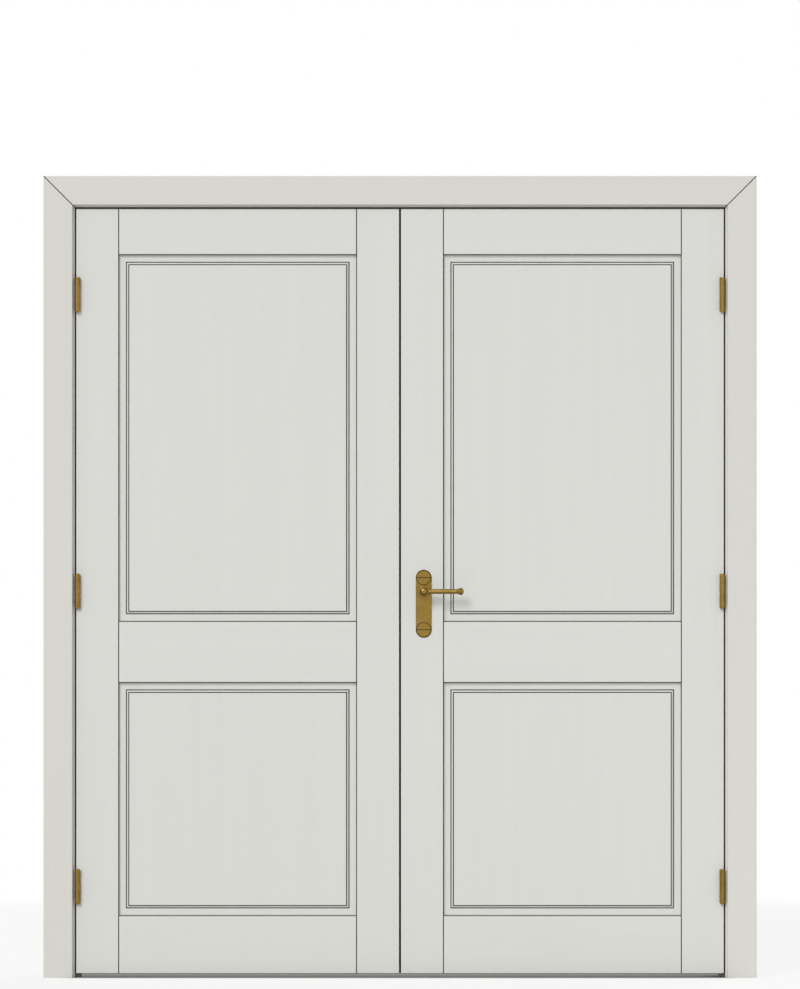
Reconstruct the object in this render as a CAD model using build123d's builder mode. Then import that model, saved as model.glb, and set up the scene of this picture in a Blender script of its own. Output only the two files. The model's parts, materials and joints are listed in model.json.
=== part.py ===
from build123d import *
import os
from math import atan2, degrees

# French doors: a pair of painted panelled leaves, hung on brass butt hinges in a lined and cased frame.
# Millimetres. +Z is up, the front faces -Y, and the leaves meet on X = 0. The floor is Z = 0.
# The left leaf (-X) is bolted top and bottom, and the right leaf (+X) carries the lever and its latch.

# Leaves: stile and rail frames with two raised panels each
leaf_width = 838.0
leaf_height = 1981.0
leaf_thick = 40.0
stile_width = 111.0
top_rail_height = 119.0
lock_rail_height = 158.0
bottom_rail_height = 150.0
lower_opening_height = 604.0
groove_depth = 12.0
groove_width = 14.0
panel_ease = 2.0
panel_margin = 19.5
panel_bevel = 6.5
panel_rise = 6.0
quirk_width = 2.6
quirk_depth = 2.2
arris = 1.5

# Gaps around the leaves
meeting_gap = 3.0
side_gap = 3.0
head_gap = 4.0
floor_gap = 10.0
stop_gap = 1.0

# Frame: lining, stops and casings
jamb_thick = 30.0
jamb_depth = 132.0
housing_depth = 10.0
stop_width = 18.0
stop_depth = 35.0
stop_round = 2.0
casing_width = 75.0
casing_thick = 18.0
casing_reveal = 5.0
casing_round = 2.5
fixing_radius = 4.0
fixing_foot_rise = 300.0
fixing_head_drop = 255.0
fixing_count = 4

# Butt hinges: three to a leaf, five knuckles each, on a loose pin
hinge_height = 90.0
hinge_head_drop = 178.0
hinge_foot_rise = 181.0
barrel_radius = 7.75
barrel_stand_off = 0.6
flap_thick = 2.5
flap_depth = 30.0
knuckle_count = 5
knuckle_gap = 0.3
pin_radius = 4.0
pin_clearance = 0.05
cap_radius = 6.5
cap_height = 2.0
cap_round = 1.2
hinge_screw_pitch = 30.0
hinge_screw_near = 11.0
hinge_screw_far = 20.0

# Countersunk wood screws
screw_head_radius = 4.0
screw_shank_radius = 2.0
screw_length = 22.0
small_head_radius = 3.2
small_shank_radius = 1.6
small_screw_length = 11.0
screw_slot_width = 0.9
screw_slot_depth = 0.9
screw_clearance = 0.1
countersink_angle = 90.0

# Lever furniture
backset = 60.0
lever_height = 1000.0
plate_width = 41.0
plate_height = 176.0
plate_thick = 3.0
plate_drop = 32.0
plate_bevel = 1.2
disc_margin = 0.7
disc_rise = 1.2
disc_round = 0.6
score_width = 1.8
score_depth = 0.8
journal_radius = 8.0
journal_clearance = 0.06
lever_clearance = 0.4
collar_radius = 12.0
collar_length = 4.0
waist_radius = 8.6
hub_radius = 12.4
hub_length = 16.0
hub_round = 1.6
button_radius = 7.9
button_rise = 2.0
button_seat_depth = 1.0
button_seat_width = 1.2
lever_stand_off = 46.0
bar_radius = 6.4
bar_length = 86.5
flare_length = 8.0
knob_radius = 9.6
knob_dome = 9.0
turned_width = 1.4
turned_depth = 0.9
spindle_side = 8.0
spindle_clearance = 0.05
spindle_engaged = 26.0
spindle_bore_radius = 8.0
through_bolt_radius = 2.0
through_bolt_head = 4.0
through_bolt_hold = 2.4

# Mortice latch
case_thick = 16.0
case_wall = 2.0
case_below = 14.5
case_above = 29.5
case_behind = 22.0
latch_plate_thick = 3.0
latch_plate_height = 76.0
edge_plate_width = 20.0
bolt_throw = 11.0
bolt_width = 11.6
bolt_height = 18.0
bolt_rise = 15.0
bolt_length = 22.0
bolt_tip = 3.0
bolt_bevel = 10.0
bolt_clearance = 0.15
tail_height = 5.0
tail_width = 8.0
lug_thick = 4.5
lug_drop = 7.0
lug_clearance = 0.5
follower_radius = 8.0
follower_journal_radius = 6.5
follower_side_clearance = 0.3
arm_width = 5.0
arm_reach = 18.0
strike_height = 60.0
strike_thick = 2.0
strike_clearance = 1.5

# Flush bolts in the left leaf's meeting edge, and the keep over the upper one
rod_radius = 5.0
rod_clearance = 0.1
rod_inset = 17.0
rod_set_back = 0.5
upper_throw = 16.0
lower_throw = 20.0
bolt_plate_height = 150.0
bolt_plate_thick = 2.5
bolt_plate_inset = 25.0
thumb_height = 16.0
thumb_width = 9.0
thumb_proud = 0.8
thumb_clearance = 0.25
rod_tail = 6.0
keep_length = 46.0
keep_thick = 2.0
keep_clearance = 1.0
plate_screw_inset = 9.0

# Brush seal in the right leaf's meeting edge
seal_base_width = 4.0
seal_base_depth = 3.5
seal_pile_width = 2.4
seal_inset = 6.5
seal_clearance = 0.3

overrun = 1.0

# Places worked out from the sizes
upper_opening_height = (
    leaf_height - top_rail_height - lock_rail_height - bottom_rail_height - lower_opening_height
)
opening_width = leaf_width - 2 * stile_width
leaf_edge = meeting_gap / 2
leaf_hinge_edge = leaf_edge + leaf_width
jamb_face = leaf_hinge_edge + side_gap
jamb_back = jamb_face + jamb_thick
leaf_bottom = floor_gap
leaf_top = leaf_bottom + leaf_height
head_face = leaf_top + head_gap
lever_reach = lever_stand_off + hub_length / 2 + button_rise
frame_reach = jamb_depth + casing_thick
leaf_front = (lever_reach - frame_reach) / 2
leaf_mid = leaf_front + leaf_thick / 2
leaf_back = leaf_front + leaf_thick
frame_back = leaf_front + jamb_depth
stop_front = leaf_back + stop_gap
stop_mid = stop_front + stop_depth / 2
fixing_pitch = (head_face - fixing_head_drop - fixing_foot_rise) / (fixing_count - 1)
lower_rail_line = leaf_bottom + bottom_rail_height
lock_rail_line = lower_rail_line + lower_opening_height
upper_rail_line = lock_rail_line + lock_rail_height
top_rail_line = upper_rail_line + upper_opening_height

barrel_height = hinge_height - 2 * cap_height
knuckle_length = (barrel_height - (knuckle_count - 1) * knuckle_gap) / knuckle_count
hinge_axis_x = jamb_face - barrel_radius
hinge_axis_y = leaf_front - barrel_stand_off - barrel_radius
hinge_places = {
    "top": leaf_top - hinge_head_drop - hinge_height / 2,
    "middle": leaf_bottom + leaf_height / 2,
    "bottom": leaf_bottom + hinge_foot_rise + hinge_height / 2,
}

lever_x = leaf_edge + backset
plate_mid = lever_height - plate_drop
disc_pitch = plate_height - plate_width
disc_heights = [plate_mid + disc_pitch / 2, plate_mid - disc_pitch / 2]
bolt_mid = lever_height + bolt_rise
bolt_top = bolt_mid + bolt_height / 2
tail_line = bolt_top - tail_height
latch_plate_mid = lever_height + (case_above - case_below) / 2
case_start = leaf_edge + latch_plate_thick
case_end = lever_x + case_behind
lug_face = lever_x + arm_width / 2 + lug_clearance + bolt_throw
rod_x = -(leaf_edge + rod_inset)
mid_plane = Plane.XZ.offset(-leaf_mid)

# The left leaf lies towards -X. The upper bolt shoots up and the lower one down.
sides = {"left": -1, "right": 1}
throws = {"upper": (1, upper_throw), "lower": (-1, lower_throw)}


def save(piece, name):
    """Labels a finished piece and writes it as its own file."""
    piece.part.label = name
    export_step(piece.part, f"parts/{name}.step")


def block(low, high, mode=Mode.ADD):
    """A square block between two opposite corners, in any order."""
    middle = [(a + b) / 2 for a, b in zip(low, high)]
    with Locations(tuple(middle)):
        Box(*[abs(a - b) for a, b in zip(low, high)], mode=mode)


def ease_faces(piece):
    """Takes the arris off the front and back faces of a stile or rail."""
    faces = piece.faces().sort_by(Axis.Y)
    chamfer(faces[0].edges() + faces[-1].edges(), arris)


def screws(places, head, shank, length):
    """Slotted countersunk screws, each with its head flush in one of the given planes."""
    sink = head - shank
    with Locations(*places):
        Cone(shank, head, sink, align=(Align.CENTER, Align.CENTER, Align.MAX))
        with Locations((0, 0, -sink)):
            Cylinder(shank, length - sink, align=(Align.CENTER, Align.CENTER, Align.MAX))
        Box(
            2 * head,
            screw_slot_width,
            screw_slot_depth,
            align=(Align.CENTER, Align.CENTER, Align.MAX),
            mode=Mode.SUBTRACT,
        )


def screw_holes(places, head, shank):
    """Countersunk holes right through a plate, opening on the given planes."""
    with Locations(*places):
        CounterSinkHole(shank + screw_clearance, head + screw_clearance, counter_sink_angle=countersink_angle)


def pilot_holes(places, shank, length):
    """Blind holes for screw shanks, measured from the screws' heads."""
    with Locations(*places):
        Hole(shank + screw_clearance, depth=length + screw_clearance)


# Places of the screws. Each plane faces out of its screw's head.
def hinge_screw_places(side, x, facing, mid):
    """Three staggered screws on a hinge flap."""
    rows = [
        (-hinge_screw_pitch, hinge_screw_near),
        (0, hinge_screw_far),
        (hinge_screw_pitch, hinge_screw_near),
    ]
    return [
        Plane((side * x, leaf_front + depth, mid + rise), x_dir=(0, 1, 0), z_dir=(side * facing, 0, 0))
        for rise, depth in rows
    ]


def frame_screw_places(side, mid):
    return hinge_screw_places(side, jamb_face - flap_thick, -1, mid)


def leaf_screw_places(side, mid):
    return hinge_screw_places(side, leaf_hinge_edge, 1, mid)


def edge_screw_places(side, mid, height):
    """Two screws, one near each end of a plate let into a meeting edge."""
    reach = height / 2 - plate_screw_inset
    return [
        Plane((side * leaf_edge, leaf_mid, mid + end * reach), x_dir=(0, 1, 0), z_dir=(-side, 0, 0))
        for end in (-1, 1)
    ]


def keep_screw_places():
    reach = keep_length / 2 - plate_screw_inset / 2
    return [
        Plane((rod_x + end * reach, leaf_mid, head_face), x_dir=(1, 0, 0), z_dir=(0, 0, -1))
        for end in (-1, 1)
    ]


def keep_hole(depth):
    """The square hole over the upper rod, cut up from the head's lower face."""
    half = rod_radius + keep_clearance
    block(
        (rod_x - half, leaf_mid - half, head_face),
        (rod_x + half, leaf_mid + half, head_face + depth),
        Mode.SUBTRACT,
    )


def bolt_plate_mid(up):
    """Middle height of a flush bolt's plate: up is 1 at the top of the leaf and -1 at the bottom."""
    end = leaf_top if up > 0 else leaf_bottom
    return end - up * (bolt_plate_inset + bolt_plate_height / 2)


# Lining
def jamb(name, side):
    with BuildPart() as piece:
        with BuildSketch():
            with Locations((side * (jamb_face + jamb_thick / 2), leaf_front + jamb_depth / 2)):
                Rectangle(jamb_thick, jamb_depth)
        extrude(amount=head_face + housing_depth)
        heights = [fixing_foot_rise + n * fixing_pitch for n in range(fixing_count)]
        with Locations(*[Plane((side * jamb_back, stop_mid, z), z_dir=(side, 0, 0)) for z in heights]):
            Hole(fixing_radius, depth=jamb_thick)
        for mid in hinge_places.values():
            pilot_holes(frame_screw_places(side, mid), screw_shank_radius, screw_length)
    save(piece, f"jamb_{name}")


def head_jamb():
    with BuildPart() as piece:
        with BuildSketch(Plane.XY.offset(head_face)):
            with Locations((0, leaf_front + jamb_depth / 2)):
                Rectangle(2 * jamb_back, jamb_depth)
        extrude(amount=jamb_thick)
        for side in sides.values():
            block(
                (side * jamb_face, leaf_front, head_face),
                (side * jamb_back, frame_back, head_face + housing_depth),
                Mode.SUBTRACT,
            )
        block(
            (rod_x - keep_length / 2, leaf_mid - edge_plate_width / 2, head_face),
            (rod_x + keep_length / 2, leaf_mid + edge_plate_width / 2, head_face + keep_thick),
            Mode.SUBTRACT,
        )
        keep_hole(upper_throw + keep_clearance)
        pilot_holes(keep_screw_places(), small_shank_radius, small_screw_length)
    save(piece, "head_jamb")


def stops():
    for name, side in sides.items():
        with BuildPart() as piece:
            with BuildSketch():
                with Locations((side * (jamb_face - stop_width / 2), stop_mid)):
                    Rectangle(stop_width, stop_depth)
            extrude(amount=head_face - stop_width)
            inner = piece.faces().sort_by(Axis.X)[-1 if side < 0 else 0]
            fillet(inner.edges().filter_by(Axis.Z), stop_round)
        save(piece, f"stop_{name}")
    with BuildPart() as piece:
        with BuildSketch(Plane.XY.offset(head_face - stop_width)):
            with Locations((0, stop_mid)):
                Rectangle(2 * jamb_face, stop_depth)
        extrude(amount=stop_width)
        fillet(piece.faces().sort_by(Axis.Z)[0].edges().filter_by(Axis.X), stop_round)
    save(piece, "stop_head")


def casings():
    """Flat casings, mitred at the head, on the front and the back of the lining."""
    inner = jamb_face + casing_reveal
    outer = inner + casing_width
    inner_top = head_face + casing_reveal
    outer_top = inner_top + casing_width
    outlines = {
        "head": ([(-inner, inner_top), (inner, inner_top), (outer, outer_top), (-outer, outer_top)], Axis.X),
    }
    for name, side in sides.items():
        leg = [(side * inner, 0), (side * outer, 0), (side * outer, outer_top), (side * inner, inner_top)]
        outlines[name] = (leg, Axis.Z)
    for prefix, plane_y, out in (("casing", leaf_front, 1), ("rear_casing", frame_back, -1)):
        for name, (outline, run) in outlines.items():
            with BuildPart() as piece:
                with BuildSketch(Plane.XZ.offset(-plane_y)):
                    with BuildLine():
                        Polyline(*outline, close=True)
                    make_face()
                extrude(amount=out * casing_thick)
                nearest = 0 if out > 0 else -1
                edges = piece.faces().sort_by(Axis.Y)[nearest].edges()
                chamfer(edges - edges.filter_by(Axis.X) - edges.filter_by(Axis.Z), arris)
                edges = piece.faces().sort_by(Axis.Y)[nearest].edges()
                fillet(edges.filter_by(run), casing_round)
            save(piece, f"{prefix}_{name}")


# Hinges
def knuckle_line(mid, index):
    """Lower end of a knuckle, counted from the bottom of the barrel."""
    return mid - barrel_height / 2 + index * (knuckle_length + knuckle_gap)


def hinge_flap(name, side, mid, x_outer, own, screw_places):
    """A flap with its own knuckles, cleared around the other flap's knuckles and bored for the pin."""
    axis_x = side * hinge_axis_x
    with BuildPart() as piece:
        block(
            (side * x_outer, hinge_axis_y, mid - barrel_height / 2),
            (side * (x_outer - flap_thick), leaf_front + flap_depth, mid + barrel_height / 2),
        )
        for index in range(knuckle_count):
            line = knuckle_line(mid, index)
            if index % 2 == own:
                with BuildSketch(Plane.XY.offset(line)):
                    with Locations((axis_x, hinge_axis_y)):
                        Circle(barrel_radius)
                extrude(amount=knuckle_length)
            else:
                with BuildSketch(Plane.XY.offset(line - knuckle_gap)):
                    with Locations((axis_x, hinge_axis_y)):
                        Circle(barrel_radius + knuckle_gap)
                extrude(amount=knuckle_length + 2 * knuckle_gap, mode=Mode.SUBTRACT)
        with BuildSketch(Plane.XY.offset(mid - hinge_height / 2)):
            with Locations((axis_x, hinge_axis_y)):
                Circle(pin_radius + pin_clearance)
        extrude(amount=hinge_height, mode=Mode.SUBTRACT)
        screw_holes(screw_places, screw_head_radius, screw_shank_radius)
    save(piece, name)


def hinges():
    for name, side in sides.items():
        for place, mid in hinge_places.items():
            hinge = f"{name}_{place}_hinge"
            hinge_flap(f"{hinge}_frame_flap", side, mid, jamb_face, 0, frame_screw_places(side, mid))
            hinge_flap(f"{hinge}_leaf_flap", side, mid, leaf_hinge_edge, 1, leaf_screw_places(side, mid))


def hinge_pins():
    """Loose pins, each with a rounded cap at both ends of its barrel."""
    with BuildPart() as pin:
        Cylinder(pin_radius, barrel_height)
        for end, align in ((1, Align.MIN), (-1, Align.MAX)):
            with Locations((0, 0, end * barrel_height / 2)):
                Cylinder(cap_radius, cap_height, align=(Align.CENTER, Align.CENTER, align))
        rims = pin.edges().filter_by(GeomType.CIRCLE).group_by(Axis.Z)
        fillet(rims[0] + rims[-1], cap_round)
    with BuildPart() as pins:
        for side in sides.values():
            with Locations(*[(side * hinge_axis_x, hinge_axis_y, mid) for mid in hinge_places.values()]):
                add(pin.part)
    save(pins, "hinge_pins")


def hinge_screws():
    with BuildPart() as piece:
        for side in sides.values():
            for mid in hinge_places.values():
                screws(frame_screw_places(side, mid), screw_head_radius, screw_shank_radius, screw_length)
        screws(keep_screw_places(), small_head_radius, small_shank_radius, small_screw_length)
    save(piece, "frame_screws")
    for name, side in sides.items():
        with BuildPart() as piece:
            for mid in hinge_places.values():
                screws(leaf_screw_places(side, mid), screw_head_radius, screw_shank_radius, screw_length)
        save(piece, f"{name}_hinge_screws")


# Leaf frames
def stile_blank(x, inward):
    """A stile with eased faces and the panel groove down its inner edge."""
    with BuildPart() as blank:
        with BuildSketch(Plane.XY.offset(leaf_bottom)):
            with Locations((x, leaf_mid)):
                Rectangle(stile_width, leaf_thick)
        extrude(amount=leaf_height)
        ease_faces(blank)
        with BuildSketch(Plane.XY.offset(leaf_bottom)):
            with Locations((x + inward * (stile_width - groove_depth) / 2, leaf_mid)):
                Rectangle(groove_depth, groove_width)
        extrude(amount=leaf_height, mode=Mode.SUBTRACT)
    return blank.part


def hinge_stile(name, side):
    blank = stile_blank(side * (leaf_hinge_edge - stile_width / 2), -side)
    with BuildPart() as piece:
        add(blank)
        for mid in hinge_places.values():
            block(
                (side * leaf_hinge_edge, leaf_front, mid - barrel_height / 2),
                (side * (leaf_hinge_edge - flap_thick), leaf_front + flap_depth, mid + barrel_height / 2),
                Mode.SUBTRACT,
            )
            pilot_holes(leaf_screw_places(side, mid), screw_shank_radius, screw_length)
    save(piece, f"{name}_hinge_stile")


def edge_recess(side, mid, height, depth, width=edge_plate_width):
    """A square recess in a meeting edge."""
    block(
        (side * leaf_edge, leaf_mid - width / 2, mid - height / 2),
        (side * (leaf_edge + depth), leaf_mid + width / 2, mid + height / 2),
        Mode.SUBTRACT,
    )


def left_meeting_stile():
    side = sides["left"]
    blank = stile_blank(side * (leaf_edge + stile_width / 2), side)
    with BuildPart() as piece:
        add(blank)
        edge_recess(side, bolt_mid, strike_height, strike_thick)
        edge_recess(
            side,
            bolt_mid,
            bolt_height + 2 * strike_clearance,
            bolt_throw,
            bolt_width + 2 * strike_clearance,
        )
        pilot_holes(edge_screw_places(side, bolt_mid, strike_height), small_shank_radius, small_screw_length)
        for up, throw in throws.values():
            mid = bolt_plate_mid(up)
            screw_places = edge_screw_places(side, mid, bolt_plate_height)
            edge_recess(side, mid, bolt_plate_height, bolt_plate_thick)
            pilot_holes(screw_places, small_shank_radius, small_screw_length)
            edge_recess(
                side,
                mid + up * throw / 2,
                thumb_height + throw + 2 * thumb_clearance,
                rod_inset,
                thumb_width + 2 * thumb_clearance,
            )
            end = leaf_top if up > 0 else leaf_bottom
            bore_depth = abs(end - mid) + thumb_height / 2 + rod_tail + rod_clearance
            with Locations(Plane((rod_x, leaf_mid, end), z_dir=(0, 0, up))):
                Hole(rod_radius + rod_clearance, depth=bore_depth)
    save(piece, "left_meeting_stile")


def right_meeting_stile():
    side = sides["right"]
    blank = stile_blank(side * (leaf_edge + stile_width / 2), side)
    with BuildPart() as piece:
        add(blank)
        edge_recess(side, latch_plate_mid, latch_plate_height, latch_plate_thick)
        block(
            (case_start, leaf_mid - case_thick / 2, lever_height - case_below),
            (case_end, leaf_mid + case_thick / 2, lever_height + case_above),
            Mode.SUBTRACT,
        )
        pilot_holes(
            edge_screw_places(side, latch_plate_mid, latch_plate_height),
            small_shank_radius,
            small_screw_length,
        )
        with Locations(Plane((lever_x, leaf_front, lever_height), z_dir=(0, -1, 0))):
            Hole(spindle_bore_radius, depth=leaf_thick)
        with Locations(*[Plane((lever_x, leaf_front, z), z_dir=(0, -1, 0)) for z in disc_heights]):
            Hole(through_bolt_radius + screw_clearance, depth=leaf_thick)
        block(
            (leaf_edge, leaf_front + seal_inset - seal_base_width / 2, leaf_bottom),
            (leaf_edge + seal_base_depth, leaf_front + seal_inset + seal_base_width / 2, leaf_top),
            Mode.SUBTRACT,
        )
    save(piece, "right_meeting_stile")


def rail(name, side, low, height, groove_edges):
    """A rail with stub tenons in the stile grooves, and a groove along each edge that meets a panel."""
    middle = side * (leaf_edge + leaf_width / 2)
    span = opening_width + 2 * groove_depth
    with BuildPart() as piece:
        with BuildSketch(Plane.XY.offset(low)):
            with Locations((middle, leaf_mid)):
                Rectangle(opening_width, leaf_thick)
        extrude(amount=height)
        ease_faces(piece)
        with BuildSketch(Plane.XY.offset(low)):
            with Locations((middle, leaf_mid)):
                Rectangle(span, groove_width)
        extrude(amount=height)
        for line in groove_edges:
            with BuildSketch(Plane.XY.offset(line)):
                with Locations((middle, leaf_mid)):
                    Rectangle(span, groove_width)
            extrude(amount=groove_depth, mode=Mode.SUBTRACT)
    save(piece, name)


def panel(name, side, low, height):
    """A panel with a thin flat margin held in the grooves, and a raised field on both faces.

    The field's bevel lies between two quirks, one at its foot and one at its top."""
    middle = (side * (leaf_edge + leaf_width / 2), low + height / 2)
    hold = groove_depth - panel_ease
    field_level = groove_width / 2 + panel_rise
    with BuildPart() as piece:
        with BuildSketch(Plane.XZ.offset(-leaf_mid)):
            with Locations(middle):
                Rectangle(opening_width + 2 * hold, height + 2 * hold)
        extrude(amount=groove_width / 2, both=True)
        for out in (1, -1):
            with BuildSketch(Plane.XZ.offset(-leaf_mid + out * groove_width / 2)):
                with Locations(middle):
                    Rectangle(opening_width - 2 * panel_margin, height - 2 * panel_margin)
            extrude(amount=out * panel_rise, taper=degrees(atan2(panel_bevel, panel_rise)))
            for inset, level in ((panel_margin, groove_width / 2), (panel_margin + panel_bevel, field_level)):
                line = (opening_width - 2 * inset, height - 2 * inset)
                with BuildSketch(Plane.XZ.offset(-leaf_mid + out * (level - quirk_depth))):
                    with Locations(middle):
                        Rectangle(*[length + quirk_width for length in line])
                        Rectangle(*[length - quirk_width for length in line], mode=Mode.SUBTRACT)
                extrude(amount=out * (quirk_depth + panel_rise), mode=Mode.SUBTRACT)
    save(piece, name)


def leaf_frame(name, side):
    hinge_stile(name, side)
    rail(f"{name}_bottom_rail", side, leaf_bottom, bottom_rail_height, [lower_rail_line - groove_depth])
    rail(
        f"{name}_lock_rail",
        side,
        lock_rail_line,
        lock_rail_height,
        [lock_rail_line, upper_rail_line - groove_depth],
    )
    rail(f"{name}_top_rail", side, top_rail_line, top_rail_height, [top_rail_line])
    panel(f"{name}_lower_panel", side, lower_rail_line, lower_opening_height)
    panel(f"{name}_upper_panel", side, upper_rail_line, upper_opening_height)


# Furniture in the left leaf's meeting edge
def strike_plate():
    side = sides["left"]
    with BuildPart() as piece:
        block(
            (side * leaf_edge, leaf_mid - edge_plate_width / 2, bolt_mid - strike_height / 2),
            (
                side * (leaf_edge + strike_thick),
                leaf_mid + edge_plate_width / 2,
                bolt_mid + strike_height / 2,
            ),
        )
        edge_recess(
            side,
            bolt_mid,
            bolt_height + 2 * strike_clearance,
            strike_thick,
            bolt_width + 2 * strike_clearance,
        )
        screw_holes(edge_screw_places(side, bolt_mid, strike_height), small_head_radius, small_shank_radius)
    save(piece, "strike_plate")


def flush_bolts():
    side = sides["left"]
    for name, (up, throw) in throws.items():
        mid = bolt_plate_mid(up)
        end = leaf_top if up > 0 else leaf_bottom
        with BuildPart() as piece:
            block(
                (side * leaf_edge, leaf_mid - edge_plate_width / 2, mid - bolt_plate_height / 2),
                (
                    side * (leaf_edge + bolt_plate_thick),
                    leaf_mid + edge_plate_width / 2,
                    mid + bolt_plate_height / 2,
                ),
            )
            edge_recess(
                side,
                mid + up * throw / 2,
                thumb_height + throw + 2 * thumb_clearance,
                bolt_plate_thick,
                thumb_width + 2 * thumb_clearance,
            )
            screw_places = edge_screw_places(side, mid, bolt_plate_height)
            screw_holes(screw_places, small_head_radius, small_shank_radius)
        save(piece, f"{name}_bolt_plate")
        rod_end = end - up * rod_set_back
        rod_start = mid - up * (thumb_height / 2 + rod_tail)
        with BuildPart() as piece:
            with BuildSketch(Plane.XY.offset(rod_start)):
                with Locations((rod_x, leaf_mid)):
                    Circle(rod_radius)
            extrude(amount=rod_end - rod_start)
            block(
                (rod_x, leaf_mid - thumb_width / 2, mid - thumb_height / 2),
                (-leaf_edge + thumb_proud, leaf_mid + thumb_width / 2, mid + thumb_height / 2),
            )
        save(piece, f"{name}_bolt_rod")


def head_keep():
    with BuildPart() as piece:
        block(
            (rod_x - keep_length / 2, leaf_mid - edge_plate_width / 2, head_face),
            (rod_x + keep_length / 2, leaf_mid + edge_plate_width / 2, head_face + keep_thick),
        )
        keep_hole(keep_thick)
        screw_holes(keep_screw_places(), small_head_radius, small_shank_radius)
    save(piece, "head_bolt_keep")


def left_edge_screws():
    side = sides["left"]
    places = edge_screw_places(side, bolt_mid, strike_height)
    for up, _ in throws.values():
        places += edge_screw_places(side, bolt_plate_mid(up), bolt_plate_height)
    with BuildPart() as piece:
        screws(places, small_head_radius, small_shank_radius, small_screw_length)
    save(piece, "left_edge_screws")


# Latch and lever furniture on the right leaf
def latch_case():
    """The morticed case with its edge plate, hollow for the bolt and the follower."""
    side = sides["right"]
    with BuildPart() as piece:
        block(
            (case_start, leaf_mid - case_thick / 2, lever_height - case_below),
            (case_end, leaf_mid + case_thick / 2, lever_height + case_above),
        )
        block(
            (leaf_edge, leaf_mid - edge_plate_width / 2, latch_plate_mid - latch_plate_height / 2),
            (case_start, leaf_mid + edge_plate_width / 2, latch_plate_mid + latch_plate_height / 2),
        )
        block(
            (case_start, leaf_mid - case_thick / 2 + case_wall, lever_height - case_below + case_wall),
            (
                case_end - case_wall,
                leaf_mid + case_thick / 2 - case_wall,
                lever_height + case_above - case_wall,
            ),
            Mode.SUBTRACT,
        )
        edge_recess(
            side,
            bolt_mid,
            bolt_height + 2 * bolt_clearance,
            latch_plate_thick,
            bolt_width + 2 * bolt_clearance,
        )
        with Locations(Plane((lever_x, leaf_front, lever_height), z_dir=(0, -1, 0))):
            Hole(follower_journal_radius + journal_clearance, depth=leaf_thick)
        screw_holes(
            edge_screw_places(side, latch_plate_mid, latch_plate_height),
            small_head_radius,
            small_shank_radius,
        )
    save(piece, "latch_case")


def latch_bolt():
    """The bevelled bolt, drawn back flush with its plate, and its tail, with a lug for the follower's arm."""
    front = leaf_mid - bolt_width / 2
    back = leaf_mid + bolt_width / 2
    with BuildPart() as piece:
        with BuildSketch(Plane.XY.offset(bolt_top - bolt_height)):
            with BuildLine():
                Polyline(
                    (leaf_edge, front),
                    (leaf_edge + bolt_length, front),
                    (leaf_edge + bolt_length, back),
                    (leaf_edge + bolt_bevel, back),
                    (leaf_edge, front + bolt_tip),
                    close=True,
                )
            make_face()
        extrude(amount=bolt_height)
        block(
            (leaf_edge + bolt_length, leaf_mid - tail_width / 2, tail_line),
            (lug_face + lug_thick, leaf_mid + tail_width / 2, bolt_top),
        )
        block(
            (lug_face, leaf_mid - tail_width / 2, tail_line - lug_drop),
            (lug_face + lug_thick, leaf_mid + tail_width / 2, tail_line),
        )
    save(piece, "latch_bolt")


def spindle_section(side_length):
    """A square on the spindle's axis, in the plane of the leaf's middle."""
    with BuildSketch(Plane.XZ.offset(-leaf_mid)) as section:
        with Locations((lever_x, lever_height)):
            Rectangle(side_length, side_length)
    return section.sketch


def latch_follower():
    """The follower: a hub on two journals, with a square hole and one arm."""
    body_length = case_thick - 2 * case_wall - 2 * follower_side_clearance
    socket = spindle_section(spindle_side + 2 * spindle_clearance)
    with BuildPart() as piece:
        with BuildSketch(Plane.XZ.offset(-leaf_mid)):
            with Locations((lever_x, lever_height)):
                Circle(follower_radius)
        extrude(amount=body_length / 2, both=True)
        with BuildSketch(Plane.XZ.offset(-leaf_mid)):
            with Locations((lever_x, lever_height)):
                Circle(follower_journal_radius)
        extrude(amount=case_thick / 2, both=True)
        block(
            (lever_x - arm_width / 2, leaf_mid - tail_width / 2, lever_height),
            (lever_x + arm_width / 2, leaf_mid + tail_width / 2, lever_height + arm_reach),
        )
        extrude(socket, amount=case_thick / 2, both=True, mode=Mode.SUBTRACT)
    save(piece, "latch_follower")


def spindle():
    section = spindle_section(spindle_side)
    with BuildPart() as piece:
        extrude(section, amount=leaf_thick / 2 + spindle_engaged, both=True)
    save(piece, "spindle")


def plate_blank():
    """A bevelled, round-ended plate: a raised, scored disc at each end and a bearing hole for the lever."""
    disc_radius = plate_width / 2 - plate_bevel - disc_margin
    with BuildPart() as blank:
        with BuildSketch(Plane.XZ.offset(-leaf_front)):
            with Locations((lever_x, plate_mid)):
                SlotOverall(plate_height, plate_width, rotation=90)
        extrude(amount=plate_thick)
        chamfer(blank.faces().sort_by(Axis.Y)[0].edges(), plate_bevel)
        with BuildSketch(Plane.XZ.offset(-leaf_front + plate_thick)):
            with Locations(*[(lever_x, z) for z in disc_heights]):
                Circle(disc_radius)
        extrude(amount=disc_rise)
        fillet(blank.faces().group_by(Axis.Y)[0].edges(), disc_round)
        with BuildSketch(Plane.XZ.offset(-leaf_front + plate_thick + disc_rise)):
            with Locations(*[(lever_x, z) for z in disc_heights]):
                Rectangle(2 * disc_radius + overrun, score_width)
        extrude(amount=-score_depth, mode=Mode.SUBTRACT)
        with Locations(Plane((lever_x, leaf_front - plate_thick, lever_height), z_dir=(0, -1, 0))):
            Hole(journal_radius + journal_clearance, depth=plate_thick)
    return blank.part


def through_bolt_places():
    face = leaf_back + plate_thick + disc_rise - score_depth
    return [Plane((lever_x, face, z), z_dir=(0, 1, 0)) for z in disc_heights]


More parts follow.
